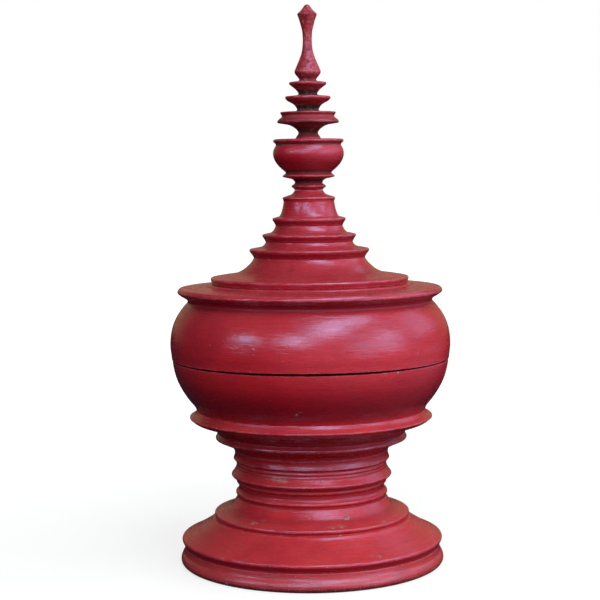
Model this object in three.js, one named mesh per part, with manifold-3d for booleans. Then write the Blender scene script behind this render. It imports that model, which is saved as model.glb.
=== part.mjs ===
// A covered offering vessel on a stand, turned in sections from wood and lacquered.
// Millimetres, +Z up, origin at the middle of the foot where it meets the floor.
// Every section is a solid of revolution about Z. The sections are stacked on dowels,
// spigots and wooden pegs. The lid, the inner tray and the finial lift off.

import * as THREE from 'three';
import { mergeVertices } from 'three/addons/utils/BufferGeometryUtils.js';
import Module from 'manifold-3d';

// How closely sections fit, and how finely they are faceted
const FIT = 0.3;
const SIDES = 28;
const FINIAL_SIDES = 20;
const PEG_SIDES = 8;

// Levels above the floor where one turned section ends and the next begins
const FOOT_TOP = 22;
const DOME_TOP = 55.2;
const STEP_TOP = 80;
const STEM_TOP = 137.5;
const COLLAR_TOP = 157.5;
const FLANGE_TOP = 186;
const BOWL_RIM = 247;
const LID_TOP = 337.5;
const PLINTH_TOP = 368;
const TIER_TOPS = [386.8, 406, 417];
const CAP_TOP = 448;
const BULB_TOP = 508.5;
const TIP = 667;

// Widest radius of each section
const FOOT_RADIUS = 158.9;
const DOME_RADIUS = 157.3;
const STEP_RADIUS = 117.7;
const STEM_RADIUS = 96.7;
const COLLAR_RADIUS = 115.3;
const FLANGE_RADIUS = 146.1;
const BOWL_RADIUS = 165.5;
const LID_RADIUS = 167.9;
const LID_RIM_RADIUS = 159;
const PLINTH_RADIUS = 118.8;
const TIER_RADII = [71.9, 56.2, 43.8];
const CAP_RADIUS = 31.6;
const BULB_RADIUS = 42.4;
const PARASOL_RADII = [36.8, 27.3, 22.4];
const BUD_RADIUS = 11.7;

// Hollows
const WALL = 11;
const FOOT_BORE = 118;
const RECESS_CEILING = 40;
const FOOT_BOARD_RADIUS = 106;
const BOWL_FLOOR = 200;
const BOWL_BOARD_RADIUS = 128;
const REBATE_HEIGHT = 9;
const REBATE_RADIUS = 157.8;
const REBATE_WALL = 6.5;
const LID_LIP_HEIGHT = 15;
const LID_CEILING = 322;
const LID_BORE = 100;
const TRAY_FLOOR = 236;
const TRAY_THICKNESS = 4;
const TRAY_RADIUS = 148;
const TRAY_FLANGE = 3;

// Dowels, spigots and pegs
const SPIGOT_DEPTH = 9;
const DOWEL_RADIUS = 18;
const DOWEL_SOCKET = 6;
const POST_RADIUS = 14;
const POST_SOCKET = 10;
const FINIAL_SPIGOT = { radius: 9, length: 18 };
const PARASOL_SPIGOT = { radius: 6, length: 20 };
const PEG_RADIUS = 4;
const FOOT_PEGS = { name: 'foot_peg', count: 4, circle: 136, from: 0.5, to: 32 };
const BOWL_PEGS = { name: 'bowl_peg', count: 3, circle: 70, from: 176, to: BOWL_FLOOR - 0.5 };
const LID_PEGS = { name: 'lid_peg', count: 3, circle: 107, from: LID_CEILING + 0.5, to: 341.5 };

const wasm = await Module();
wasm.setup();

function lacquer(color, roughness) {
  return new THREE.MeshStandardMaterial({ color, roughness, metalness: 0 });
}

const cinnabarLacquer = lacquer(0xb2343a, 0.42);
const darkLacquer = lacquer(0x7d1c22, 0.4);
const bareWood = new THREE.MeshStandardMaterial({ color: 0x7a5638, roughness: 0.8, metalness: 0 });

// The outline of a turned section, as radius and level. It is walked from the lowest inner
// point outwards, up the outside and back inwards at the top.
class Outline {
  constructor(radius, level) {
    this.points = [new THREE.Vector2(radius, level)];
  }

  line(radius, level) {
    this.points.push(new THREE.Vector2(radius, level));
    return this;
  }

  // A smooth stretch from the last point through the given points, with as many steps as asked
  curve(steps, ...through) {
    const start = this.points[this.points.length - 1];
    const ends = through.map(([radius, level]) => new THREE.Vector2(radius, level));
    const smooth = new THREE.SplineCurve([start, ...ends]).getPoints(steps);
    this.points.push(...smooth.slice(1));
    return this;
  }

  // A rounded stretch that leaves towards the corner and arrives from it
  round(steps, cornerRadius, cornerLevel, radius, level) {
    const start = this.points[this.points.length - 1];
    const corner = new THREE.Vector2(cornerRadius, cornerLevel);
    const end = new THREE.Vector2(radius, level);
    const arc = new THREE.QuadraticBezierCurve(start, corner, end).getPoints(steps);
    this.points.push(...arc.slice(1));
    return this;
  }

  closed() {
    this.points.push(this.points[0].clone());
    return this;
  }
}

function turn(outline, sides = SIDES) {
  const geometry = new THREE.LatheGeometry(outline.points, sides);
  geometry.rotateX(Math.PI / 2);
  return geometry;
}

function named(name, geometry, finish) {
  const mesh = new THREE.Mesh(geometry, finish);
  mesh.name = name;
  return mesh;
}

// Pegs and the holes bored for them
function pegPlaces({ count, circle }) {
  return Array.from({ length: count }, (_, i) => {
    const angle = (2 * Math.PI * (i + 0.5)) / count;
    return [circle * Math.cos(angle), circle * Math.sin(angle)];
  });
}

function upright(radius, from, to, [x, y]) {
  const geometry = new THREE.CylinderGeometry(radius, radius, to - from, PEG_SIDES);
  geometry.rotateX(Math.PI / 2);
  geometry.translate(x, y, (from + to) / 2);
  return geometry;
}

function solid(geometry) {
  const bare = new THREE.BufferGeometry().setAttribute('position', geometry.getAttribute('position'));
  bare.setIndex(geometry.index);
  const merged = mergeVertices(bare, 1e-3);
  return new wasm.Manifold(new wasm.Mesh({
    numProp: 3,
    vertProperties: merged.getAttribute('position').array,
    triVerts: new Uint32Array(merged.index.array),
  }));
}

function geometryOf(body) {
  const mesh = body.getMesh();
  const geometry = new THREE.BufferGeometry();
  geometry.setAttribute('position', new THREE.BufferAttribute(mesh.vertProperties, 3));
  geometry.setIndex(new THREE.BufferAttribute(mesh.triVerts, 1));
  geometry.computeVertexNormals();
  return geometry;
}

function bored(geometry, pegs, from, to) {
  const holes = pegPlaces(pegs).map((place) => solid(upright(PEG_RADIUS + FIT, from, to, place)));
  return geometryOf(holes.reduce((body, hole) => body.subtract(hole), solid(geometry)));
}

function pegsOf(pegs) {
  return pegPlaces(pegs).map((place, i) =>
    named(`${pegs.name}_${i + 1}`, upright(PEG_RADIUS, pegs.from, pegs.to, place), bareWood));
}

// Stand: a foot ring, a domed foot closed by a board above its recess, a step, a ringed stem, a
// collar and the flange that carries the bowl, all on one dowel
function footRing() {
  const ring = new Outline(FOOT_BORE, 0)
    .line(FOOT_RADIUS - 8, 0)
    .round(3, FOOT_RADIUS - 1, 0, FOOT_RADIUS, 5.5)
    .curve(2, [FOOT_RADIUS - 0.8, 10], [FOOT_RADIUS - 3.8, 17.5])
    .line(FOOT_RADIUS - 4.6, FOOT_TOP)
    .line(FOOT_BORE, FOOT_TOP)
    .closed();
  return named('foot_ring', bored(turn(ring), FOOT_PEGS, -1, FOOT_TOP + 1), cinnabarLacquer);
}

function footDome() {
  const foot = FOOT_TOP + FIT;
  const spigot = FOOT_BORE - FIT;
  const bore = FOOT_BOARD_RADIUS + FIT;
  const dome = new Outline(bore, foot - SPIGOT_DEPTH)
    .line(spigot, foot - SPIGOT_DEPTH)
    .line(spigot, foot)
    .line(DOME_RADIUS - 7, foot)
    .round(2, DOME_RADIUS - 6, 26.8, DOME_RADIUS - 0.6, 28.4)
    .round(2, DOME_RADIUS + 0.6, 30.5, DOME_RADIUS - 1, 32.4)
    .curve(5, [151.3, 34.7], [134.3, 43.6], [122.2, 51.9], [STEP_RADIUS + 0.8, DOME_TOP])
    .line(bore, DOME_TOP)
    .closed();
  return named('foot_dome', bored(turn(dome), FOOT_PEGS, foot - 1, FOOT_PEGS.to + FIT), cinnabarLacquer);
}

function footBoard() {
  const board = new Outline(DOWEL_RADIUS + FIT, RECESS_CEILING)
    .line(FOOT_BOARD_RADIUS, RECESS_CEILING)
    .line(FOOT_BOARD_RADIUS, DOME_TOP)
    .line(DOWEL_RADIUS + FIT, DOME_TOP)
    .closed();
  return named('foot_board', turn(board), darkLacquer);
}

function stepRing() {
  const foot = DOME_TOP + FIT;
  const step = new Outline(DOWEL_RADIUS + FIT, foot)
    .line(STEP_RADIUS - 0.6, foot)
    .line(STEP_RADIUS, 60)
    .line(STEP_RADIUS - 0.6, 61.8)
    .curve(4, [114, 63], [98.1, 70], [90.5, 77.1], [90, STEP_TOP])
    .line(DOWEL_RADIUS + FIT, STEP_TOP)
    .closed();
  return named('step_ring', turn(step), cinnabarLacquer);
}

function stemDrum() {
  const foot = STEP_TOP + FIT;
  const stem = new Outline(DOWEL_RADIUS + FIT, foot)
    .line(STEM_RADIUS - 6.6, foot)
    .line(STEM_RADIUS - 6.4, 82.5)
    .line(STEM_RADIUS - 5.1, 85.2)
    .line(STEM_RADIUS - 5.4, 86.6)
    .line(STEM_RADIUS - 8.6, 92.4)
    .line(STEM_RADIUS - 8.6, 96)
    .line(STEM_RADIUS - 6.2, 98)
    .line(STEM_RADIUS - 6.2, 100.4)
    .curve(4, [STEM_RADIUS - 1.4, 104.8], [STEM_RADIUS, 107.2], [STEM_RADIUS - 0.6, 109])
    .line(STEM_RADIUS - 4.5, 114.6)
    .line(STEM_RADIUS - 5.8, 116.4)
    .line(STEM_RADIUS - 5.6, 121.6)
    .line(STEM_RADIUS - 6.3, 124.2)
    .line(STEM_RADIUS - 2.5, 126.6)
    .line(STEM_RADIUS - 2.8, 128.4)
    .line(STEM_RADIUS - 4.6, 134)
    .line(STEM_RADIUS - 3.8, STEM_TOP)
    .line(DOWEL_RADIUS + FIT, STEM_TOP)
    .closed();
  return named('stem_drum', turn(stem), cinnabarLacquer);
}

function stemCollar() {
  const foot = STEM_TOP + FIT;
  const collar = new Outline(DOWEL_RADIUS + FIT, foot)
    .line(STEM_RADIUS - 3.6, foot)
    .curve(4, [96.1, 141.7], [106.6, 147.3], [COLLAR_RADIUS - 0.5, 150.7])
    .round(2, COLLAR_RADIUS + 0.6, 152.4, COLLAR_RADIUS - 0.8, 154)
    .line(COLLAR_RADIUS - 2.8, COLLAR_TOP)
    .line(DOWEL_RADIUS + FIT, COLLAR_TOP)
    .closed();
  return named('stem_collar', turn(collar), cinnabarLacquer);
}

function bowlFlange() {
  const foot = COLLAR_TOP + FIT;
  const flange = new Outline(DOWEL_RADIUS + FIT, foot)
    .line(COLLAR_RADIUS - 2.8, foot)
    .curve(4, [125.8, 167], [140, 172.4], [FLANGE_RADIUS, 177])
    .line(FLANGE_RADIUS - 0.4, 178.4)
    .curve(2, [142, 180.6], [137.5, FLANGE_TOP])
    .line(DOWEL_RADIUS + FIT, FLANGE_TOP)
    .closed();
  const sockets = bored(turn(flange), BOWL_PEGS, BOWL_PEGS.from - FIT, FLANGE_TOP + 1);
  return named('bowl_flange', sockets, cinnabarLacquer);
}

function standDowel() {
  const top = FLANGE_TOP + DOWEL_SOCKET;
  const dowel = new Outline(0, RECESS_CEILING)
    .line(DOWEL_RADIUS, RECESS_CEILING)
    .line(DOWEL_RADIUS, top - 2)
    .line(DOWEL_RADIUS - 2, top)
    .line(0, top);
  return named('stand_dowel', turn(dowel), bareWood);
}

// Bowl: a round wall whose mouth has an upstanding ring that the lid fits over, with a board let
// into its foot for a floor
function bowl() {
  const foot = FLANGE_TOP + FIT;
  const ringTop = BOWL_RIM + REBATE_HEIGHT;
  const mouth = REBATE_RADIUS - REBATE_WALL;
  const bore = BOWL_BOARD_RADIUS + FIT;
  const wall = new Outline(bore, foot)
    .line(137.3, foot)
    .curve(8, [140, 191.3], [152, 207.8], [160.5, 224], [164.5, 239.5], [BOWL_RADIUS, BOWL_RIM])
    .line(REBATE_RADIUS, BOWL_RIM)
    .line(REBATE_RADIUS, ringTop)
    .line(mouth, ringTop)
    .line(mouth, TRAY_FLOOR)
    .curve(4, [144, 220], [bore, BOWL_FLOOR])
    .closed();
  return named('bowl', turn(wall), cinnabarLacquer);
}

function bowlBoard() {
  const foot = FLANGE_TOP + FIT;
  const board = new Outline(0, foot + DOWEL_SOCKET)
    .line(DOWEL_RADIUS + FIT, foot + DOWEL_SOCKET)
    .line(DOWEL_RADIUS + FIT, foot)
    .line(BOWL_BOARD_RADIUS, foot)
    .line(BOWL_BOARD_RADIUS, BOWL_FLOOR)
    .line(0, BOWL_FLOOR);
  return named('bowl_board', bored(turn(board), BOWL_PEGS, foot - 1, BOWL_FLOOR + 1), darkLacquer);
}

// Inner tray: a shallow dish hung by its flange from the bowl's upstanding ring
function innerTray() {
  const seat = BOWL_RIM + REBATE_HEIGHT + FIT;
  const edge = REBATE_RADIUS - 2;
  const tray = new Outline(0, TRAY_FLOOR)
    .line(TRAY_RADIUS - 12, TRAY_FLOOR)
    .round(3, TRAY_RADIUS, TRAY_FLOOR, TRAY_RADIUS, TRAY_FLOOR + 10)
    .line(TRAY_RADIUS, seat)
    .line(edge, seat)
    .line(edge, seat + TRAY_FLANGE)
    .line(TRAY_RADIUS - TRAY_THICKNESS, seat + TRAY_FLANGE)
    .line(TRAY_RADIUS - TRAY_THICKNESS, TRAY_FLOOR + 11)
    .round(3, TRAY_RADIUS - TRAY_THICKNESS, TRAY_FLOOR + TRAY_THICKNESS,
      TRAY_RADIUS - 13, TRAY_FLOOR + TRAY_THICKNESS)
    .line(0, TRAY_FLOOR + TRAY_THICKNESS);
  return named('inner_tray', turn(tray), darkLacquer);
}

// Lid: a belly with a flared rim, and a stepped spire stacked on one post
function lidBelly() {
  const foot = BOWL_RIM + FIT;
  const lip = REBATE_RADIUS + FIT;
  const inner = LID_RADIUS - WALL;
  const belly = new Outline(lip, foot)
    .line(BOWL_RADIUS, foot)
    .curve(10, [167.6, 259], [LID_RADIUS, 267], [166, 282.6], [160.4, 297.7], [152.4, 309.2],
      [146.7, 315.8])
    .line(146.5, 317.6)
    .curve(2, [152.3, 322.8], [LID_RIM_RADIUS - 0.6, 326.8])
    .round(3, LID_RIM_RADIUS + 1, 330, LID_RIM_RADIUS - 3.5, 332.8)
    .line(PLINTH_RADIUS + 2.6, 335.4)
    .line(PLINTH_RADIUS + 2.2, LID_TOP)
    .line(LID_BORE, LID_TOP)
    .line(LID_BORE, LID_CEILING)
    .line(126, LID_CEILING)
    .curve(5, [138, 314], [149, 298], [inner - 1, 280], [inner, foot + LID_LIP_HEIGHT + 4])
    .line(lip, foot + LID_LIP_HEIGHT)
    .closed();
  return named('lid_belly', bored(turn(belly), LID_PEGS, LID_CEILING - 1, LID_TOP + 1), cinnabarLacquer);
}

function spireBase() {
  const foot = LID_TOP + FIT;
  const postTop = TIER_TOPS[2] + POST_SOCKET;
  const base = new Outline(0, LID_CEILING)
    .line(LID_BORE - FIT, LID_CEILING)
    .line(LID_BORE - FIT, foot)
    .line(PLINTH_RADIUS, foot)
    .line(PLINTH_RADIUS, 343.4)
    .line(PLINTH_RADIUS - 1.6, 345)
    .curve(7, [104, 346.8], [87.6, 349.6], [74.1, 358.2], [67.9, 365], [66.6, PLINTH_TOP])
    .line(POST_RADIUS, PLINTH_TOP)
    .line(POST_RADIUS, postTop - 2)
    .line(POST_RADIUS - 2, postTop)
    .line(0, postTop);
  return named('spire_base', bored(turn(base), LID_PEGS, foot - 1, LID_PEGS.to + FIT), cinnabarLacquer);
}

function tier1() {
  const foot = PLINTH_TOP + FIT;
  const wide = TIER_RADII[0];
  const tier = new Outline(POST_RADIUS + FIT, foot)
    .line(66.6, foot)
    .curve(2, [wide - 3, 372.4], [wide - 0.3, 376])
    .round(2, wide + 0.3, 378, wide - 1.6, 378.4)
    .line(58, 380.6)
    .curve(2, [54, 383.5], [52.3, TIER_TOPS[0]])
    .line(POST_RADIUS + FIT, TIER_TOPS[0])
    .closed();
  return named('spire_tier_1', turn(tier), cinnabarLacquer);
}

function tier2() {
  const foot = TIER_TOPS[0] + FIT;
  const wide = TIER_RADII[1];
  const tier = new Outline(POST_RADIUS + FIT, foot)
    .line(52.4, foot)
    .curve(2, [wide - 1.8, 390.8], [wide - 0.2, 393.4])
    .round(2, wide + 0.2, 395.4, wide - 1.4, 395.8)
    .line(45.4, 397.8)
    .curve(2, [42.3, 401.4], [40.1, TIER_TOPS[1]])
    .line(POST_RADIUS + FIT, TIER_TOPS[1])
    .closed();
  return named('spire_tier_2', turn(tier), cinnabarLacquer);
}

function tier3() {
  const foot = TIER_TOPS[1] + FIT;
  const wide = TIER_RADII[2];
  const tier = new Outline(POST_RADIUS + FIT, foot)
    .line(40.1, foot)
    .curve(2, [wide - 1.7, 410], [wide - 0.1, 413])
    .round(2, wide + 0.2, 414.8, wide - 1.4, 415.2)
    .line(35.8, TIER_TOPS[2])
    .line(POST_RADIUS + FIT, TIER_TOPS[2])
    .closed();
  return named('spire_tier_3', turn(tier), cinnabarLacquer);
}

function spireCap() {
  const foot = TIER_TOPS[2] + FIT;
  const socket = POST_RADIUS + FIT;
  const bore = FINIAL_SPIGOT.radius + FIT;
  const cap = new Outline(0, foot + POST_SOCKET)
    .line(socket, foot + POST_SOCKET)
    .line(socket, foot)
    .line(35.6, foot)
    .curve(3, [32.9, 423.1], [30.4, 434.4])
    .round(2, CAP_RADIUS - 0.4, 436, CAP_RADIUS, 438)
    .line(CAP_RADIUS - 0.6, 439.8)
    .curve(3, [22.7, 442.2], [16.9, CAP_TOP])
    .line(bore, CAP_TOP)
    .line(bore, CAP_TOP - FINIAL_SPIGOT.length - 1)
    .line(0, CAP_TOP - FINIAL_SPIGOT.length - 1);
  return named('spire_cap', turn(cap, FINIAL_SIDES), cinnabarLacquer);
}

// Finial: a bulb on a bead and disc, and a spire of parasols that ends in a bud
function finialBulb() {
  const foot = CAP_TOP + FIT;
  const bore = PARASOL_SPIGOT.radius + FIT;
  const socketFloor = BULB_TOP - PARASOL_SPIGOT.length - 1;
  const bulb = new Outline(0, foot - FINIAL_SPIGOT.length)
    .line(FINIAL_SPIGOT.radius, foot - FINIAL_SPIGOT.length)
    .line(FINIAL_SPIGOT.radius, foot)
    .line(16.9, foot)
    .round(2, 20.8, 450, 20.8, 452.8)
    .round(2, 20.6, 455, 16.5, 457)
    .curve(3, [18.3, 460], [25.4, 462.3])
    .round(3, 33, 464.6, 27.4, 468.2)
    .curve(7, [33.3, 474.3], [39.9, 482.6], [BULB_RADIUS, 491.5], [38.9, 501.8])
    .round(2, 42.4, 504.5, 42.1, 507)
    .line(40.6, BULB_TOP)
    .line(bore, BULB_TOP)
    .line(bore, socketFloor)
    .line(0, socketFloor);
  return named('finial_bulb', turn(bulb, FINIAL_SIDES), cinnabarLacquer);
}

function finialParasols() {
  const foot = BULB_TOP + FIT;
  const [low, middle, high] = PARASOL_RADII;
  const spigotFoot = foot - PARASOL_SPIGOT.length;
  const parasols = new Outline(0, spigotFoot)
    .line(PARASOL_SPIGOT.radius, spigotFoot)
    .line(PARASOL_SPIGOT.radius, foot)
    .line(15.6, foot)
    .curve(6, [11.6, 515.4], [14.6, 520.5], [22.5, 525.2], [low - 0.8, 527.4])
    .line(low, 528.8)
    .line(31.3, 535.6)
    .round(2, 32, 537.5, 33.2, 539.2)
    .line(32.4, 540.6)
    .line(14, 541.6)
    .curve(5, [13.1, 544.1], [16.3, 549], [middle - 1.2, 555.4])
    .round(2, middle + 0.4, 557.2, middle - 0.6, 559)
    .line(12.4, 560.4)
    .curve(4, [11.5, 563], [15.2, 567.7], [high - 1, 572.6])
    .round(2, high + 0.4, 574.2, high - 0.4, 575.6)
    .line(11.4, 577.2)
    .curve(3, [10.3, 579], [14.2, 584.2])
    .round(3, 17, 587.4, 14.1, 592.4)
    .curve(5, [10, 601.8], [5.9, 615.8], [5.9, 634.6], [9.4, 648.6])
    .round(3, BUD_RADIUS + 1, 655, 9.4, 658.2)
    .curve(3, [5.6, 662.6], [0, TIP]);
  return named('finial_parasols', turn(parasols, FINIAL_SIDES), cinnabarLacquer);
}

function group(...pieces) {
  const set = new THREE.Group();
  set.add(...pieces.flat());
  return set;
}

const stand = group(footRing(), footDome(), footBoard(), stepRing(), stemDrum(), stemCollar(),
  bowlFlange(), standDowel(), bowl(), bowlBoard(), pegsOf(FOOT_PEGS), pegsOf(BOWL_PEGS));
const tray = group(innerTray());
const finial = group(finialBulb(), finialParasols());
const lid = group(lidBelly(), spireBase(), tier1(), tier2(), tier3(), spireCap(), pegsOf(LID_PEGS), finial);

export default group(stand, tray, lid);
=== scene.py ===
"""A covered offering vessel of turned wood under aged cinnabar lacquer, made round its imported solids."""

import math
from types import SimpleNamespace

import bpy
import numpy as np
from bpy.props import FloatProperty, FloatVectorProperty, IntProperty, PointerProperty
from mathutils import Euler, Matrix, Vector


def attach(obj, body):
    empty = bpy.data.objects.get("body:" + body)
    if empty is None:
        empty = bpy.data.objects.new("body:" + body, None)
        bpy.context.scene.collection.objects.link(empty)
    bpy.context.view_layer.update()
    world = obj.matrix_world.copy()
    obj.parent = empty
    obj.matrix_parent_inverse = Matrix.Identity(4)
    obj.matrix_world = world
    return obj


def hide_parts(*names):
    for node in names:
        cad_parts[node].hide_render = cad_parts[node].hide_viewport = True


bl_info = {
    "name": "Lacquered Offering Vessel",
    "version": (1, 0, 0),
    "blender": (4, 5, 0),
    "location": "View3D > Sidebar > Vessel",
    "description": "Turned and lacquered sections of a covered vessel, its finishes and its studio",
    "category": "Add Mesh",
}

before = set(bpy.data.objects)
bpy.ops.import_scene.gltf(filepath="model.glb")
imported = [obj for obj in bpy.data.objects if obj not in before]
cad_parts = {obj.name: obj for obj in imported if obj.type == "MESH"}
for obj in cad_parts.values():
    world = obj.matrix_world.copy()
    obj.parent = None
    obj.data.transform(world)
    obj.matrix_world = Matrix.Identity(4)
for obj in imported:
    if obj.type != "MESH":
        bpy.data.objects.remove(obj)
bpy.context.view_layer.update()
MM = 0.001

# Levels above the floor where one turned section ends and the next begins, in millimetres
FOOT_TOP = 22.0
DOME_TOP = 55.2
STEP_TOP = 80.0
STEM_TOP = 137.5
COLLAR_TOP = 157.5
FLANGE_TOP = 186.0
BOWL_RIM = 247.0
LID_TOP = 337.5
PLINTH_TOP = 368.0
TIER_TOPS = (386.8, 406.0, 417.0)
CAP_TOP = 448.0
BULB_TOP = 508.5
TIP = 667.0
SEAM = 1.0

# Widest radii in millimetres
FOOT_RADIUS = 158.9
DOME_RADIUS = 157.3
STEP_RADIUS = 117.7
STEM_RADIUS = 96.7
COLLAR_RADIUS = 115.3
FLANGE_RADIUS = 146.1
BOWL_RADIUS = 165.5
LID_RADIUS = 167.9
LID_RIM_RADIUS = 159.0
PLINTH_RADIUS = 118.8
TIER_RADII = (71.9, 56.2, 43.8)
CAP_RADIUS = 31.6
BULB_RADIUS = 42.4
PARASOL_RADII = (36.8, 27.3, 22.4)
BUD_RADIUS = 11.7

# Hollows, boards, the tray and the finial's spigot, in millimetres
FIT = 0.3
WALL = 11.0
FOOT_BORE = 118.0
RECESS_CEILING = 40.0
FOOT_BOARD_RADIUS = 106.0
BOWL_FLOOR = 200.0
BOWL_BOARD_RADIUS = 128.0
REBATE_HEIGHT = 9.0
REBATE_RADIUS = 157.8
REBATE_WALL = 6.5
LID_LIP_HEIGHT = 15.0
LID_CEILING = 322.0
TRAY_FLOOR = 236.0
TRAY_THICKNESS = 4.0
TRAY_RADIUS = 148.0
TRAY_FLANGE = 3.0
FINIAL_SPIGOT_RADIUS = 9.0
FINIAL_SPIGOT_LENGTH = 18.0

# Where the points of a curved stretch of outline lie on it
CURVE_POINTS = np.linspace(0, 1, 13)[1:, None]
# An outline is walked in steps of FINE_STEP millimetres. A ring is kept for each RING_TURN that it turns
# and each RING_GAP millimetres of its length. Closer to the axis than STEADY_RADIUS millimetres, a ring
# is less and less uneven.
FINE_STEP = 0.2
RING_TURN = math.radians(6)
RING_GAP = 5.0
STEADY_RADIUS = 20.0
# Grooves and arrises show against an outline blurred over a narrow width, and hollows against wider
# ones. These are the widths, and how far a place then lies off where it counts in full, in millimetres.
NARROW, MIDDLING, WIDE = 1.2, 4.0, 9.0
GROOVE, HOLLOW, SHELTER, ARRIS = 0.3, 2.0, 3.0, 0.25

# The finishes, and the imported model's slots for those of turned sections
LACQUER = "cinnabar_lacquer_aged"
INSIDE = "dark_lacquer_inside"
TEAK = "teak_bare_turned"


def linear(hex_colour):
    """sRGB hex to the linear red, green, blue and alpha that Blender's sockets take."""
    parts = [int(hex_colour[i : i + 2], 16) / 255 for i in (0, 2, 4)]
    return (*(c / 12.92 if c <= 0.04045 else ((c + 0.055) / 1.055) ** 2.4 for c in parts), 1.0)


class Outline:
    """Half of a turned section's outline, as radius and level in millimetres.

    It is walked from the lowest inner point outwards, up the outside and back inwards. A closed one ends
    where it began. Any other is a solid's, which starts and ends on the axis without saying so.
    """

    def __init__(self, radius, level):
        self.points = [np.array([[radius, level]], dtype=float)]

    def line(self, radius, level):
        self.points.append(np.array([[radius, level]], dtype=float))
        return self

    def curve(self, *through):
        """A centripetal Catmull-Rom spline through the last point and the given ones."""
        knots = np.vstack([self.points[-1][-1:], np.array(through, dtype=float)])
        ends = np.vstack([2 * knots[0] - knots[1], knots, 2 * knots[-1] - knots[-2]])
        gaps = np.sqrt(np.linalg.norm(np.diff(ends, axis=0), axis=1))
        t = CURVE_POINTS
        for i in range(len(knots) - 1):
            p0, p1, p2, p3 = ends[i : i + 4]
            g0, g1, g2 = gaps[i : i + 3]
            m1 = ((p1 - p0) / g0 - (p2 - p0) / (g0 + g1) + (p2 - p1) / g1) * g1
            m2 = ((p2 - p1) / g1 - (p3 - p1) / (g1 + g2) + (p3 - p2) / g2) * g1
            hermite = (
                (2 * t**3 - 3 * t**2 + 1) * p1
                + (t**3 - 2 * t**2 + t) * m1
                + (3 * t**2 - 2 * t**3) * p2
                + (t**3 - t**2) * m2
            )
            self.points.append(hermite)
        return self

    def round(self, corner_radius, corner_level, radius, level):
        """A quadratic curve that leaves towards the corner and arrives from it."""
        start = self.points[-1][-1]
        corner = np.array([corner_radius, corner_level])
        end = np.array([radius, level])
        t = CURVE_POINTS
        self.points.append((1 - t) ** 2 * start + 2 * t * (1 - t) * corner + t**2 * end)
        return self

    def array(self, closed):
        points = np.vstack(self.points)
        if closed:
            return np.vstack([points, points[:1]])
        return np.vstack([[[0, points[0, 1]]], points, [[0, points[-1, 1]]]])


def lengths_along(points):
    return np.concatenate([[0], np.cumsum(np.linalg.norm(np.diff(points, axis=0), axis=1))])


def resampled(points, step):
    """The same outline with its points an equal way apart along its length."""
    points = points[np.diff(lengths_along(points), prepend=-1.0) > 1e-6]
    along = lengths_along(points)
    count = max(int(along[-1] / step), 8)
    at = np.linspace(0, along[-1], count + 1)
    return np.column_stack([np.interp(at, along, points[:, i]) for i in (0, 1)])


def blurred(values, width, closed):
    """A running mean with Gaussian weights, of the given width in samples."""
    reach = int(3 * width) + 1
    offsets = np.arange(-reach, reach + 1)
    weights = np.exp(-0.5 * (offsets / width) ** 2)
    weights /= weights.sum()
    if closed:
        padded = np.concatenate([values[-reach - 1 : -1], values, values[1 : reach + 1]])
    else:
        first, last = values[0], values[-1]
        head = 2 * first - values[reach:0:-1]
        tail = 2 * last - values[-2 : -reach - 2 : -1]
        padded = np.concatenate([head, values, tail])
    return np.stack([np.convolve(padded[:, i], weights, "valid") for i in range(values.shape[1])], 1)


def softened(points, edge, closed):
    """The outline with its corners rounded as brushed lacquer rounds them, to about edge millimetres.

    Each point moves to the weighted mean of its neighbours along the outline. Returned with it are
    its length so far, how far a point stands out on an edge, lies in a groove or in a wide hollow, and how
    far it looks up.
    """
    fine = resampled(points, FINE_STEP)
    soft = blurred(fine, edge / FINE_STEP, closed)
    if not closed:
        soft[0] = fine[0]
        soft[-1] = fine[-1]
    tangent = np.gradient(soft, axis=0)
    tangent /= np.maximum(np.linalg.norm(tangent, axis=1), 1e-9)[:, None]
    outward = np.column_stack([tangent[:, 1], -tangent[:, 0]])
    narrow, middling, wide = (
        np.sum((soft - blurred(soft, width / FINE_STEP, closed)) * outward, axis=1)
        for width in (NARROW, MIDDLING, WIDE)
    )
    turning = np.abs(np.arctan2(
        tangent[:-1, 0] * tangent[1:, 1] - tangent[:-1, 1] * tangent[1:, 0],
        np.sum(tangent[:-1] * tangent[1:], axis=1),
    ))
    weight = np.concatenate([[0], np.cumsum(turning / RING_TURN + FINE_STEP / RING_GAP)])
    picks = np.searchsorted(weight, np.arange(0, weight[-1], 1.0)).clip(0, len(soft) - 1)
    picks = np.unique(np.concatenate([picks, [0, len(soft) - 1]]))
    measures = {
        "along": lengths_along(soft) * MM,
        "hollow": np.clip(np.maximum(-narrow / GROOVE, -middling / HOLLOW), 0, 1),
        "shelter": np.clip(-wide / SHELTER, 0, 1),
        "arris": np.clip(narrow / ARRIS, 0, 1),
        "skyward": outward[:, 1],
    }
    return soft[picks], {name: values[picks] for name, values in measures.items()}


def wobble(angle, level, depth, seed):
    """How far the surface lies under its true circle, in millimetres, never above it.

    A sum of a few long waves round the axis, whose phases drift with the level.
    """
    rng = np.random.default_rng(seed)
    waves = np.zeros(np.broadcast(angle, level).shape)
    for order in (2, 3, 5, 8, 13):
        phase, drift, weight = rng.uniform(0, 2 * math.pi), rng.uniform(-0.05, 0.05), 1 / math.sqrt(order)
        waves += weight * np.sin(order * angle + phase + drift * level)
    waves /= np.abs(waves).max() + 1e-9
    return 0.5 * depth * (1 + waves)


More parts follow.
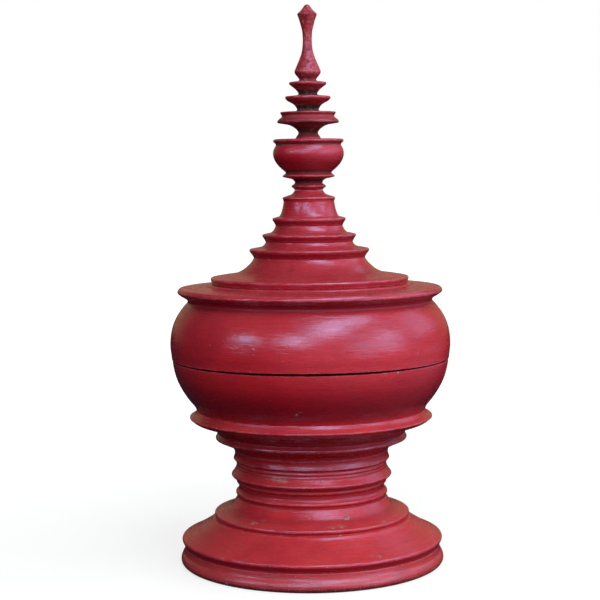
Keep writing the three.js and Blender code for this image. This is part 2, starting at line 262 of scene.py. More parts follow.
def turned(node, outline, body, finish=LACQUER, closed=False, edge=0.4, depth=0.25, seed=1):
    """A surface of revolution: each outline point is carried round the axis as a circle.

    x = r cos(a), y = r sin(a), z = level, where r is the outline's radius less the wobble.
    A point on the axis is one vertex, with a fan of triangles round it.
    """
    sides = bpy.context.scene.vessel_sizes.sides
    rings, measures = softened(outline.array(closed), edge, closed)
    if closed:
        rings = rings[:-1]
        measures = {measure: values[:-1] for measure, values in measures.items()}
    angle = np.linspace(0, 2 * math.pi, sides, endpoint=False)
    steadied = np.minimum(rings[:, :1] / STEADY_RADIUS, 1)
    radius = rings[:, :1] - wobble(angle[None, :], rings[:, 1:], depth, seed) * steadied
    radius = np.maximum(radius, 0)
    level = np.repeat(rings[:, 1:], sides, axis=1)
    grid = np.stack([radius * np.cos(angle), radius * np.sin(angle), level], axis=2) * MM
    inner = slice(None) if closed else slice(1, -1)
    count = len(grid[inner])
    index = np.arange(count * sides).reshape(count, sides)
    after = np.roll(index, -1, axis=1)
    above = np.roll(index, -1, axis=0) if closed else index[1:]
    above_after = np.roll(after, -1, axis=0) if closed else after[1:]
    low, low_after = (index, after) if closed else (index[:-1], after[:-1])
    quads = np.stack([low, low_after, above_after, above], axis=2).reshape(-1, 4)
    vertices = grid[inner].reshape(-1, 3)
    faces = quads.tolist()
    if not closed:
        bottom, top = count * sides, count * sides + 1
        poles = np.array([[0, 0, rings[0, 1]], [0, 0, rings[-1, 1]]]) * MM
        vertices = np.vstack([vertices, poles])
        faces += np.stack([after[0], index[0], np.full(sides, bottom)], 1).tolist()
        faces += np.stack([index[-1], after[-1], np.full(sides, top)], 1).tolist()
    name = node + "_turned"
    mesh = bpy.data.meshes.new(name)
    mesh.from_pydata(vertices.tolist(), [], faces)
    mesh.polygons.foreach_set("use_smooth", np.ones(len(faces), dtype=bool))
    for measure, values in measures.items():
        spread = np.repeat(values[inner], sides)
        if not closed:
            spread = np.concatenate([spread, values[[0, -1]]])
        attribute = mesh.attributes.new(measure, "FLOAT", "POINT")
        attribute.data.foreach_set("value", spread.astype(np.float32))
    mesh.materials.append(finish_named(finish))
    mesh.update()
    piece = bpy.data.objects.new(name, mesh)
    bpy.context.scene.collection.objects.link(piece)
    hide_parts(node)
    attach(piece, body)


def add_node(tree, kind, inputs=None, output=0, **settings):
    """Adds a shader node, sets its properties, sets or links its inputs, and gives back one output."""
    node = tree.nodes.new(kind)
    for name, value in settings.items():
        setattr(node, name, value)
    for socket, value in (inputs or {}).items():
        if isinstance(value, bpy.types.NodeSocket):
            tree.links.new(value, node.inputs[socket])
        else:
            node.inputs[socket].default_value = value
    return node.outputs[output] if node.outputs else node


def new_material(name):
    material = bpy.data.materials.new(name)
    material.use_nodes = True
    material.node_tree.nodes.clear()
    return material, material.node_tree


MATH, RANGE, MIX, NOISE = "ShaderNodeMath", "ShaderNodeMapRange", "ShaderNodeMix", "ShaderNodeTexNoise"
VECTOR = "ShaderNodeVectorMath"
# Settings that several nodes share
COLOUR_MIX = {"output": 2, "data_type": "RGBA"}
DISTANCE = {"output": "Value", "operation": "DISTANCE"}
DOT = {"output": "Value", "operation": "DOT_PRODUCT"}
TIMES = {"operation": "MULTIPLY"}
TIMES_PLUS = {"operation": "MULTIPLY_ADD"}
MOST = {"operation": "MAXIMUM"}
SMOOTH = {"interpolation_type": "SMOOTHSTEP"}


# Noises in the lacquer: what they are laid over, changes in a metre along its three axes, detail and
# roughness. Those laid over the winding are drawn out round the axis, as brush strokes 33 mm long and
# 2 mm wide with hair marks in them. Patches are 60 mm wide, mottling 4 mm, spots and grain 2 mm, and
# specks about 1 mm.
NOISES = {
    "strokes": ("winding", (30, 30, 500), 3.0, 0.6),
    "hairs": ("winding", (90, 90, 1800), 2.0, 0.5),
    "stretches": ("winding", (60, 60, 450), 4.0, 0.6),
    "rubs": ("winding", (90, 90, 500), 3.0, 0.6),
    "swells": ("winding", (30, 30, 90), 2.0, 0.5),
    "patches": ("place", (16, 16, 16), 5.0, 0.6),
    "mottle": ("place", (240, 240, 240), 4.0, 0.7),
    "spots": ("place", (420, 420, 420), 3.0, 0.6),
    "grain": ("place", (450, 450, 450), 3.0, 0.75),
    "specks": ("place", (700, 700, 700), 3.0, 0.7),
}
# Masks in the lacquer, by how they change from their first value to their last: the field they read,
# the two values of it between which they change, and their own first and last value. Levels, and depths
# behind the axis, are in millimetres.
ZONES = {
    "LINEAR": {
        "upper": ("level", 80, 400, 0, 1),
        # Where the collar between stem and flange gets painted shade
        "over_stem": ("level", 115, 140, 0, 0.65),
        "under_flange": ("level", 174, 164, 0, 1),
        "over_bulb": ("level", 509, 513, 0, 1),
        "neck": ("level", 538, 530, 0, 0.5),
        "topmost": ("level", 505, 515, 0, 1),
        "under_bud": ("level", 578, 570, 0, 1),
        "bud": ("level", 572, 582, 0, 1),
        "foot": ("level", 24, 18, 0, 0.12),
        # How far the seam's painted shade reaches, more in front than at the sides
        "half_lips": ("depth", -165, -100, 1.5, 0.7),
    },
    "SMOOTHSTEP": {
        "finial": ("level", 400, 480, 0, 1),
        "low": ("level", 140, 120, 0, 0.7),
        "lowest": ("level", 10, 3, 0, 1),
    },
}
MASKS = {
    "LINEAR": {
        "streaked": ("strokes", 0.42, 0.68, 0, 0.5),
        "mottled": ("mottle", 0.45, 0.65, 0, 0.3),
        "ledge": ("skyward", 0, 0.7, 0.35, 0.6),
        "upward": ("skyward", -0.4, 1, 0, 0.12),
        "downward": ("skyward", -0.05, -0.55, 0, 0.65),
        "dark_flecks": ("mottle", 0.5, 0.38, 0, 0.6),
        "pale_flecks": ("mottle", 0.54, 0.7, 0.02, 0.4),
        "open_air": ("shelter", 0.6, 1, 1, 0.3),
        "held": ("unhandled", 0, 1, 0.15, 1),
        "rubbed_here": ("rubs", 0.42, 0.62, 0, 0.42),
        "dark_specks": ("specks", 0.5, 0.4, 0, 1),
        "pale_specks": ("specks", 0.62, 0.66, 0, 1),
        "smudgy": ("specks", 0.6, 0.4, 0, 0.7),
        "dust_streaks": ("hairs", 0.44, 0.62, 0, 0.6),
        "clean_ground": ("grain", 0.42, 0.58, 0, 1),
        "worn": ("strokes", 0.35, 0.62, 0.1, 0.3),
        "stroke_depth": ("unhandled", 0, 1, 0.0002, 0.0003),
        "grain_depth": ("unhandled", 0, 1, 0.0002, 0.0004),
    },
    "SMOOTHSTEP": {
        "thick": ("patches", 0.35, 0.65, 0.6, 1),
        "deep": ("hollow", 0.3, 1, 0, 0.75),
        "patchy": ("stretches", 0.38, 0.6, 0, 1),
        "edges": ("arris", 0.3, 0.9, 0, 1),
    },
}

# Single marks of wear on the lacquer, in millimetres: middle and reach of each chip, mark of dust and
# dark smudge, and for each scratch the middle and radius of the ball whose surface it follows, and its
# own middle and reach
CHIPS = (
    ((-89.3, -68.1, 63.6), 3.4),
    ((-68.9, -84.6, 64.9), 4.8),
    ((-57.3, -83.8, 68.1), 2.8),
    ((39.9, -88.8, 70.5), 4.4),
    ((22.1, -107.7, 64.6), 4.2),
    ((32.5, -104.3, 64.8), 4.4),
    ((82.1, -76.4, 63.7), 3.4),
    ((66.5, -131.8, 36.5), 3.2),
    ((75.7, -128.8, 35.6), 4.0),
    ((28.0, -135.7, 41.4), 1.5),
    ((13.8, -116.8, 55.2), 2.0),
    ((32.1, -112.9, 55.3), 2.4),
    ((-99.2, -124.0, 5.0), 3.6),
    ((-47.5, -47.3, 368.8), 1.8),
    ((-16.5, -146.0, 200.3), 2.2),
    ((-12.0, -148.6, 203.0), 1.8),
    ((114.0, -96.0, 222.0), 2.4),
    ((81.7, -143.8, 246.0), 2.6),
    ((96.8, -134.1, 245.7), 2.0),
    ((-113.3, -122.7, 277.0), 1.0),
    ((-64.2, -155.1, 269.0), 1.0),
)
DUST_MARKS = (
    ((-44.0, -80.5, 115.8), 5.0),
    ((-38.0, -83.8, 115.2), 5.0),
    ((-32.0, -86.3, 114.8), 5.0),
)
SMUDGES = (
    ((-24.7, -63.6, 378.9), 2.6),
    ((-21.8, -72.2, 357.2), 4.5),
    ((-21.0, -69.0, 362.0), 3.5),
)
SCRATCHES = (
    ((99.8, -138.2, 274.0), 32.0, (121.8, -114.9, 273.6), 19.0),
    ((20.0, -150.0, 709.0), 400.0, (20.0, -151.0, 309.0), 13.0),
)
SCRATCH_WIDTH = 0.35


def metres(place):
    return [value * MM for value in place]


def add_masks(tree, at, table):
    for fade, masks in table.items():
        for name, (field, start, end, first, last) in masks.items():
            change = {0: at[field], 1: start, 2: end, 3: first, 4: last}
            at[name] = add_node(tree, RANGE, change, interpolation_type=fade)


def lacquer_fields(tree):
    """The fields that the lacquer's layers are made from, by name: measures, noises and masks."""
    place = add_node(tree, "ShaderNodeTexCoord", output="Object")
    at = {"place": place}
    for name in ("along", "hollow", "arris", "shelter", "skyward"):
        at[name] = add_node(tree, "ShaderNodeAttribute", output="Fac", attribute_name=name)
    apart = add_node(tree, "ShaderNodeSeparateXYZ", {0: place}).node.outputs
    for name, axis in (("depth", "Y"), ("level", "Z")):
        at[name] = add_node(tree, MATH, {0: apart[axis], 1: 1 / MM}, **TIMES)
    # Round the axis and along the outline, so that strokes follow the rings on flat faces too
    winding = {0: apart["X"], 1: apart["Y"], 2: at["along"]}
    at["winding"] = add_node(tree, "ShaderNodeCombineXYZ", winding)
    for name, (field, scale, detail, roughness) in NOISES.items():
        laid = add_node(tree, "ShaderNodeMapping", {"Vector": at[field], "Scale": scale})
        look = {"Vector": laid, "Scale": 1.0, "Detail": detail, "Roughness": roughness}
        at[name] = add_node(tree, NOISE, look)
    add_masks(tree, at, ZONES)
    # Hands keep the bowl and the lid clean: the finial and the foot hold most of the grime
    at["unhandled"] = add_node(tree, MATH, {0: at["finial"], 1: at["low"]}, **MOST)
    add_masks(tree, at, MASKS)
    return SimpleNamespace(**at)


def near_marks(tree, place, marks, core):
    """1 within the given part of a mark's reach, falling to 0 at the whole of it."""
    nearest = 0.0
    for middle, reach in marks:
        away = add_node(tree, VECTOR, {0: place, 1: metres(middle)}, **DISTANCE)
        near = add_node(tree, RANGE, {0: away, 1: reach * MM, 2: core * reach * MM})
        nearest = add_node(tree, MATH, {0: nearest, 1: near}, **MOST)
    return nearest


def smoke_and_flecks(tree, at):
    """Painted shade in the finial's wide hollows and on the neck over its bulb, and flecks 2 to 4 mm wide.

    The flecks are on the bud and under the parasols. The dark ones are added to the painted shade.
    """
    smoke = add_node(tree, MATH, {0: at.finial, 1: at.shelter}, **TIMES)
    smoke = add_node(tree, MATH, {0: smoke, 1: at.under_bud}, **TIMES)
    neck = add_node(tree, MATH, {0: at.neck, 1: at.over_bulb}, **TIMES)
    sheltered = add_node(tree, MATH, {0: at.shelter, 1: 2.0, 2: 0.15}, use_clamp=True, **TIMES_PLUS)
    bare = add_node(tree, MATH, {0: at.bud, 1: sheltered}, **MOST)
    flecked = add_node(tree, MATH, {0: at.topmost, 1: bare}, **TIMES)
    dark = add_node(tree, MATH, {0: flecked, 1: at.dark_flecks}, **TIMES)
    pale = add_node(tree, MATH, {0: flecked, 1: at.pale_flecks}, **TIMES)
    for more in (neck, dark):
        smoke = add_node(tree, MATH, {0: smoke, 1: more}, **MOST)
    return smoke, pale


def chipped_spots(tree, at):
    """Chips down to the pale ground, and scratches.

    Small chips are rare, and likelier on arrises. Pale specks lie on the lowest 9 mm. The large chips
    have ragged edges: they reach further where the noise of the specks is high.
    """
    chance = add_node(tree, MATH, {0: at.arris, 1: 0.07, 2: at.spots}, **TIMES_PLUS)
    chips = add_node(tree, RANGE, {0: chance, 1: 0.722, 2: 0.74})
    pale = add_node(tree, MATH, {0: at.lowest, 1: at.pale_specks}, **TIMES)
    marks = [pale]
    for middle, reach in CHIPS:
        size = reach * MM
        away = add_node(tree, VECTOR, {0: at.place, 1: metres(middle)}, **DISTANCE)
        ragged = add_node(tree, MATH, {0: at.specks, 1: -6.0 * size, 2: away}, **TIMES_PLUS)
        marks.append(add_node(tree, RANGE, {0: ragged, 1: -2.5 * size, 2: -2.7 * size}))
    for ball, radius, middle, reach in SCRATCHES:
        out = add_node(tree, VECTOR, {0: at.place, 1: metres(ball)}, **DISTANCE)
        drift = add_node(tree, MATH, {0: at.mottle, 1: 1.5 * MM, 2: out}, **TIMES_PLUS)
        on_ball = {0: drift, 1: (radius + 0.75) * MM, 2: 0.5 * SCRATCH_WIDTH * MM}
        near = add_node(tree, MATH, on_ball, operation="COMPARE")
        away = add_node(tree, VECTOR, {0: at.place, 1: metres(middle)}, **DISTANCE)
        within = add_node(tree, RANGE, {0: away, 1: reach * MM, 2: 0.7 * reach * MM, 4: 0.6})
        marks.append(add_node(tree, MATH, {0: near, 1: within}, **TIMES))
    for mark in marks:
        chips = add_node(tree, MATH, {0: chips, 1: mark}, **MOST)
    return chips


def joint_lips(tree, at):
    """Painted shade of the seam on the lips where bowl and lid meet, a dark line 3 mm high in front and half
    that at the sides.
    """
    level = add_node(tree, MATH, {0: at.mottle, 1: 1.5, 2: at.level}, **TIMES_PLUS)
    off = add_node(tree, MATH, {0: level, 1: BOWL_RIM + SEAM}, operation="SUBTRACT")
    off = add_node(tree, MATH, {0: off}, operation="ABSOLUTE")
    return add_node(tree, MATH, {0: off, 1: at.half_lips}, operation="LESS_THAN")


def layers_over_red(tree, at, finish):
    """What covers the red, from the lowest layer to the topmost: the share it covers, and its colour."""
    darker = add_node(tree, MATH, {0: at.streaked, 1: at.mottled}, **MOST)
    # A deeper red towards the top, most of all on the ledges that look up: painted shade
    ledge_shade = add_node(tree, MATH, {0: at.upper, 1: at.ledge}, **TIMES)
    # A film of dust on what looks up, which also stands in as a painted sheen
    dust_and_sheen = add_node(tree, MATH, {0: at.upward, 1: at.patches}, **TIMES)
    # Painted shade on what looks down, on the wide hollows, and on the collar between stem and flange
    wide_hollow = add_node(tree, MATH, {0: at.shelter, 1: 0.6}, **TIMES)
    collar = add_node(tree, MATH, {0: at.over_stem, 1: at.under_flange}, **TIMES)
    painted_shade = at.downward
    for more in (wide_hollow, collar):
        painted_shade = add_node(tree, MATH, {0: painted_shade, 1: more}, **MOST)
    # Dirt in the grooves, in stretches round the axis
    dirt = at.deep
    for part in (at.held, at.open_air, at.patchy):
        dirt = add_node(tree, MATH, {0: dirt, 1: part}, **TIMES)
    # Arrises rubbed pale: partly wear, partly a painted highlight along the edges
    rubbed_and_highlit = add_node(tree, MATH, {0: at.edges, 1: at.rubbed_here}, **TIMES)
    foot_film = add_node(tree, MATH, {0: at.foot, 1: at.stretches}, **TIMES)
    # The lowest 9 mm scuffed on floors, and smudges of old dirt, as uneven as the specks
    scuffed = add_node(tree, MATH, {0: at.lowest, 1: at.dark_specks}, **TIMES)
    smudged = near_marks(tree, at.place, SMUDGES, 0.3)
    smudged = add_node(tree, MATH, {0: smudged, 1: at.smudgy}, **TIMES)
    scuffed = add_node(tree, MATH, {0: scuffed, 1: smudged}, **MOST)
    dusty = near_marks(tree, at.place, DUST_MARKS, 0.2)
    dusty = add_node(tree, MATH, {0: dusty, 1: at.dust_streaks}, **TIMES)
    # Dirt has got into the chips in places
    ground = add_node(tree, MIX, {0: at.clean_ground, 6: finish.grime, 7: finish.chip}, **COLOUR_MIX)
    return (
        (darker, finish.deep_red),
        (ledge_shade, finish.deep_red),
        (dust_and_sheen, finish.dust),
        (painted_shade, finish.under),
        (at.smoke, finish.smoked),
        (at.pale, finish.dust),
        (dirt, finish.grime),
        (rubbed_and_highlit, finish.rubbed_and_highlit),
        (foot_film, finish.dust),
        (scuffed, finish.scuff),
        (dusty, finish.dust),
        (at.chips, ground),
        (at.lips, finish.joint),
    )


def relief(tree, at):
    """Swells of the coats, brush strokes, hair marks, grain and sunken chips, with depths in metres."""
    bump = None
    for height, depth, sunk in (
        (at.swells, 0.0005, False),
        (at.strokes, at.stroke_depth, False),
        (at.hairs, 0.00004, False),
        (at.grain, at.grain_depth, False),
        (at.chips, 0.0002, True),
    ):
        inputs = {"Height": height, "Distance": depth}
        if bump:
            inputs["Normal"] = bump
        bump = add_node(tree, "ShaderNodeBump", inputs, invert=sunk)
    return bump


def aged_lacquer():
    """Cinnabar lacquer brushed on turned wood, decades old: semi-gloss, streaked, grimy in its grooves.

    The pigment gives a dense warm red. Brush strokes run round every section and break up its
    highlights, and worn strokes are duller than the rest. Grime sits in the grooves, the arrises are
    rubbed pale and chipped, partly as wear and partly as a painted highlight, and the foot is scuffed
    where it stands. Painted shade darkens the faces that look down, the wide hollows, the collar under
    the flange, the finial's hollows and neck, the seam's lips, and the faces higher up, most of all
    those that look up. A film on what looks up is partly dust and partly painted sheen.
    """
    finish = bpy.context.scene.vessel_finish
    material, tree = new_material(LACQUER)
    at = lacquer_fields(tree)
    at.smoke, at.pale = smoke_and_flecks(tree, at)
    at.chips = chipped_spots(tree, at)
    at.lips = joint_lips(tree, at)
    colour = add_node(tree, MIX, {0: at.thick, 6: finish.deep_red, 7: finish.bright_red}, **COLOUR_MIX)
    for share, cover in layers_over_red(tree, at, finish):
        colour = add_node(tree, MIX, {0: share, 6: colour, 7: cover}, **COLOUR_MIX)
    # Worn strokes are duller, and hollows, chips, the seam's painted shade and the finial's painted shade
    # are matt
    dull = at.deep
    for matt in (at.chips, at.lips, at.smoke):
        dull = add_node(tree, MATH, {0: dull, 1: matt}, **MOST)
    rough = add_node(tree, MATH, {0: dull, 1: 0.6, 2: at.worn}, **TIMES_PLUS)
    shine = add_node(tree, RANGE, {0: dull, 3: 0.5, 4: 0.0})
    bump = relief(tree, at)
    shader = add_node(tree, "ShaderNodeBsdfPrincipled", {
        "Base Color": colour, "Roughness": rough, "Normal": bump, "IOR": 1.5, "Specular IOR Level": shine,
    })
    add_node(tree, "ShaderNodeOutputMaterial", {"Surface": shader})
    return material


def inner_lacquer():
    """Dark red lacquer inside the vessel: brushed round the axis, smoother, and hardly worn."""
    finish = bpy.context.scene.vessel_finish
    material, tree = new_material(INSIDE)
    place = add_node(tree, "ShaderNodeTexCoord", output="Object")
    along = add_node(tree, "ShaderNodeAttribute", output="Fac", attribute_name="along")
    apart = add_node(tree, "ShaderNodeSeparateXYZ", {0: place}).node.outputs
    winding = add_node(tree, "ShaderNodeCombineXYZ", {0: apart["X"], 1: apart["Y"], 2: along})
    # Brush strokes 50 mm long and 3 mm wide, and faint clouds 60 mm wide
    stroke_place = add_node(tree, "ShaderNodeMapping", {"Vector": winding, "Scale": (20, 20, 330)})
    strokes = add_node(tree, NOISE, {"Vector": stroke_place, "Scale": 1.0, "Detail": 3.0, "Roughness": 0.6})
    patches = add_node(tree, NOISE, {"Vector": place, "Scale": 16.0, "Detail": 2.0, "Roughness": 0.5})
    both = add_node(tree, MATH, {0: strokes, 1: patches}, operation="ADD")
    thick = add_node(tree, RANGE, {0: both, 1: 0.75, 2: 1.25, 3: 0.25, 4: 0.65})
    colour = add_node(tree, MIX, {0: thick, 6: finish.inside_red, 7: finish.deep_red}, **COLOUR_MIX)
    rough = add_node(tree, RANGE, {0: strokes, 1: 0.3, 2: 0.7, 3: 0.22, 4: 0.42})
    bump = add_node(tree, "ShaderNodeBump", {"Height": strokes, "Distance": 0.0003})
    shader = add_node(tree, "ShaderNodeBsdfPrincipled",
                      {"Base Color": colour, "Roughness": rough, "Normal": bump, "IOR": 1.5})
    add_node(tree, "ShaderNodeOutputMaterial", {"Surface": shader})
    return material


def bare_teak():
    """Bare turned teak, for dowel and pegs: straight brown grain along Z, dry and matt."""
    finish = bpy.context.scene.vessel_finish
    material, tree = new_material(TEAK)
    place = add_node(tree, "ShaderNodeTexCoord", output="Object")
    grain_place = add_node(tree, "ShaderNodeMapping", {"Vector": place, "Scale": (700, 700, 40)})
    grain = add_node(tree, NOISE, {"Vector": grain_place, "Scale": 1.0, "Detail": 5.0})
    late = add_node(tree, RANGE, {0: grain, 1: 0.35, 2: 0.7})
    colour = add_node(tree, MIX, {0: late, 6: finish.wood_dark, 7: finish.wood_light}, **COLOUR_MIX)
    bump = add_node(tree, "ShaderNodeBump", {"Height": grain, "Distance": 0.0002})
    shader = add_node(tree, "ShaderNodeBsdfPrincipled",
                      {"Base Color": colour, "Roughness": 0.75, "Normal": bump, "IOR": 1.5})
    add_node(tree, "ShaderNodeOutputMaterial", {"Surface": shader})
    return material


def finish_named(name):
    """The material of that name, made when it is first asked for."""
    makers = {LACQUER: aged_lacquer, INSIDE: inner_lacquer, TEAK: bare_teak}
    return bpy.data.materials.get(name) or makers[name]()


class VesselSizes(bpy.types.PropertyGroup):
    sides: IntProperty(
        name="Sides", description="Steps round the axis of each turned section", default=240, min=48, max=360
    )
    lid_gap: FloatProperty(
        name="Lid seam", description="Height of the dark seam under the lid", default=SEAM * MM,
        unit="LENGTH", min=0.0003, max=0.003,
    )


def finish_colour(name, description, hex_colour):
    return FloatVectorProperty(name=name, description=description, subtype="COLOR", size=4,
                               min=0, max=1, default=linear(hex_colour))


class VesselFinish(bpy.types.PropertyGroup):
    bright_red: finish_colour("Bright red", "Lacquer where it is thick", "E21E1E")
    deep_red: finish_colour("Deep red", "Lacquer where it is thin or aged", "AC121E")
    inside_red: finish_colour("Inside red", "Lacquer inside the vessel", "5E161A")
    # The colour of the painted shade on faces that look down, in wide hollows and on the collar under the
    # flange
    under: finish_colour("Underside red", "Deeper lacquer on the faces that look down", "72060E")
    # Painted shade in the finial's wide hollows and on its neck, also the colour of its dark flecks
    smoked: finish_colour("Smoke", "Smoke in the finial's hollows", "38120E")
    # Dust, and also the painted sheen laid with it on the faces that look up
    dust: finish_colour("Dust", "Film of dust on the faces that look up", "C89C76")
    grime: finish_colour("Grime", "Dust in the grooves", "82503C")
    # Painted shade of the seam's gap, laid on the lips of bowl and lid
    joint: finish_colour("Joint", "Dark lips of the bowl and the lid where they meet", "3C0606")
    scuff: finish_colour("Scuffs", "Dark specks where the foot stands", "2A1A18")
    # Partly worn lacquer, partly a painted highlight along the arrises
    rubbed_and_highlit: finish_colour("Rubbed edge", "Lacquer rubbed thin on the arrises", "D8605A")
    chip: finish_colour("Chip", "Pale ground where the lacquer has chipped", "DC9878")
    wood_dark: finish_colour("Dark grain", "Late wood of the teak", "5E4028")
    wood_light: finish_colour("Light grain", "Early wood of the teak", "8A6440")


class VESSEL_OT_foot(bpy.types.Operator):
    """Foot ring, flared foot and step"""

    bl_idname = "vessel.foot"
    bl_label = "Foot"

    def execute(self, context):
        ring = (
            Outline(FOOT_BORE, 0)
            .line(FOOT_RADIUS - 8, 0)
            .round(FOOT_RADIUS - 1, 0, FOOT_RADIUS, 5.5)
            .curve((FOOT_RADIUS - 0.3, 8.4), (FOOT_RADIUS - 1, 10.4), (FOOT_RADIUS - 1.8, 12.2))
            .curve((FOOT_RADIUS - 3.6, 14.6), (FOOT_RADIUS - 4.4, 18), (FOOT_RADIUS - 4.7, FOOT_TOP))
            .line(FOOT_BORE, FOOT_TOP)
        )
        turned("foot_ring", ring, "stand", closed=True, edge=0.3, seed=11)
        dome = (
            Outline(FOOT_BOARD_RADIUS, FOOT_TOP - 9)
            .line(FOOT_BORE - FIT, FOOT_TOP - 9)
            .line(FOOT_BORE - FIT, FOOT_TOP)
            .line(DOME_RADIUS - 3.1, FOOT_TOP)
            .curve((DOME_RADIUS - 2.5, 24.2), (DOME_RADIUS - 1.4, 26.6), (DOME_RADIUS - 0.7, 28))
            .round(DOME_RADIUS + 0.6, 30.4, DOME_RADIUS - 1, 32.4)
            .curve((151.3, 34.7), (142, 39.4), (130.1, 46.5), (122.2, 51.9), (119.8, 54.6))
            .line(118.6, DOME_TOP)
            .line(FOOT_BOARD_RADIUS, DOME_TOP)
        )
        turned("foot_dome", dome, "stand", closed=True, edge=0.3, seed=12)
        radius = FOOT_BOARD_RADIUS - FIT
        board = Outline(radius, RECESS_CEILING).line(radius, DOME_TOP)
        turned("foot_board", board, "stand", finish=INSIDE, seed=14)
        step = (
            Outline(STEP_RADIUS - 1.2, DOME_TOP)
            .curve((STEP_RADIUS - 1.2, 56.8), (STEP_RADIUS - 0.3, 58.4))
            .round(STEP_RADIUS + 0.5, 60.4, STEP_RADIUS - 0.6, 61.9)
            .curve((113, 62.9), (105, 65.4), (98.6, 68.8), (94.8, 73), (92, 77), (90.2, STEP_TOP))
        )
        turned("step_ring", step, "stand", edge=0.2, seed=13)
        return {"FINISHED"}


class VESSEL_OT_stem(bpy.types.Operator):
    """Ringed drum of the waist, and the collar on it"""

    bl_idname = "vessel.stem"
    bl_label = "Stem"

    def execute(self, context):
        drum = (
            Outline(90.0, STEP_TOP)
            .line(90.3, 82.4)
            .curve((90.9, 83.6), (91.6, 85.2), (91.4, 87))
            .curve((89.4, 88.6), (88.2, 90.6), (88.0, 92.6), (88.4, 95.4))
            .line(89.2, 96.6)
            .line(90.6, 98.4)
            .line(90.5, 101)
            .curve((92.6, 103.2), (95.2, 104.9), (STEM_RADIUS, 107.2), (96.2, 108.6))
            .curve((94.4, 110.8), (92.6, 113.6), (91.7, 115.4))
            .line(91.0, 116.1)
            .line(91.2, 116.8)
            .line(90.8, 118.4)
            .line(90.3, 119.0)
            .line(90.7, 119.8)
            .curve((90.9, 121.4), (90.4, 123.2), (90.5, 124.8))
            .curve((92.4, 125.4), (94.1, 126.6), (94, 127.9))
            .curve((93, 130.4), (92.6, 133.2), (92.9, STEM_TOP))
        )
        turned("stem_drum", drum, "stand", edge=0.2, seed=21)
        collar = (
            Outline(93, STEM_TOP)
            .curve((96.1, 141.7), (106.6, 147.3), (COLLAR_RADIUS - 0.6, 150.7))
            .round(COLLAR_RADIUS + 0.6, 152.4, COLLAR_RADIUS - 0.9, 154.2)
            .line(COLLAR_RADIUS - 2.8, COLLAR_TOP)
        )
        turned("stem_collar", collar, "stand", edge=0.2, seed=22)
        return {"FINISHED"}


class VESSEL_OT_bowl(bpy.types.Operator):
    """Flange that carries the bowl, and the bowl with the ring in its mouth"""

    bl_idname = "vessel.bowl"
    bl_label = "Bowl"

    def execute(self, context):
        flange = (
            Outline(COLLAR_RADIUS - 2.8, COLLAR_TOP)
            .curve((117, 163), (125.8, 167.8), (140, 172.4), (FLANGE_RADIUS - 0.2, 176.8))
            .line(FLANGE_RADIUS - 0.2, 178.2)
            .curve((143.4, 179.5), (139.5, 182.2), (137.6, FLANGE_TOP))
        )
        turned("bowl_flange", flange, "stand", edge=0.2, seed=31)
        ring_top = BOWL_RIM + REBATE_HEIGHT
        mouth = REBATE_RADIUS - REBATE_WALL
        wall = (
            Outline(BOWL_BOARD_RADIUS, FLANGE_TOP)
            .line(137.4, FLANGE_TOP)
            .curve((139.7, 191.3), (148, 201.8), (155.6, 213.7), (160.5, 224), (163.6, 234.4),
                   (165.2, 243), (BOWL_RADIUS, 246.2))
            .round(BOWL_RADIUS, BOWL_RIM, BOWL_RADIUS - 0.8, BOWL_RIM)
            .line(REBATE_RADIUS, BOWL_RIM)
            .line(REBATE_RADIUS, ring_top)
            .line(mouth, ring_top)
            .line(mouth, TRAY_FLOOR)
            .curve((144, 220), (BOWL_BOARD_RADIUS, BOWL_FLOOR))
        )
        turned("bowl", wall, "stand", closed=True, seed=32)
        radius = BOWL_BOARD_RADIUS - FIT
        board = Outline(radius, FLANGE_TOP).line(radius, BOWL_FLOOR)
        turned("bowl_board", board, "stand", finish=INSIDE, seed=33)
        return {"FINISHED"}


class VESSEL_OT_tray(bpy.types.Operator):
    """Shallow dish that hangs in the bowl's mouth"""

    bl_idname = "vessel.tray"
    bl_label = "Inner tray"

    def execute(self, context):
        seat = BOWL_RIM + REBATE_HEIGHT + FIT
        edge = REBATE_RADIUS - 2
        inner = TRAY_RADIUS - TRAY_THICKNESS
        tray = (
            Outline(TRAY_RADIUS - 12, TRAY_FLOOR)
            .round(TRAY_RADIUS, TRAY_FLOOR, TRAY_RADIUS, TRAY_FLOOR + 10)
            .line(TRAY_RADIUS, seat)
            .line(edge, seat)
            .line(edge, seat + TRAY_FLANGE)
            .line(inner, seat + TRAY_FLANGE)
            .line(inner, TRAY_FLOOR + 11)
            .round(inner, TRAY_FLOOR + TRAY_THICKNESS, TRAY_RADIUS - 13, TRAY_FLOOR + TRAY_THICKNESS)
        )
        turned("inner_tray", tray, "tray", finish=INSIDE, seed=41)
        return {"FINISHED"}


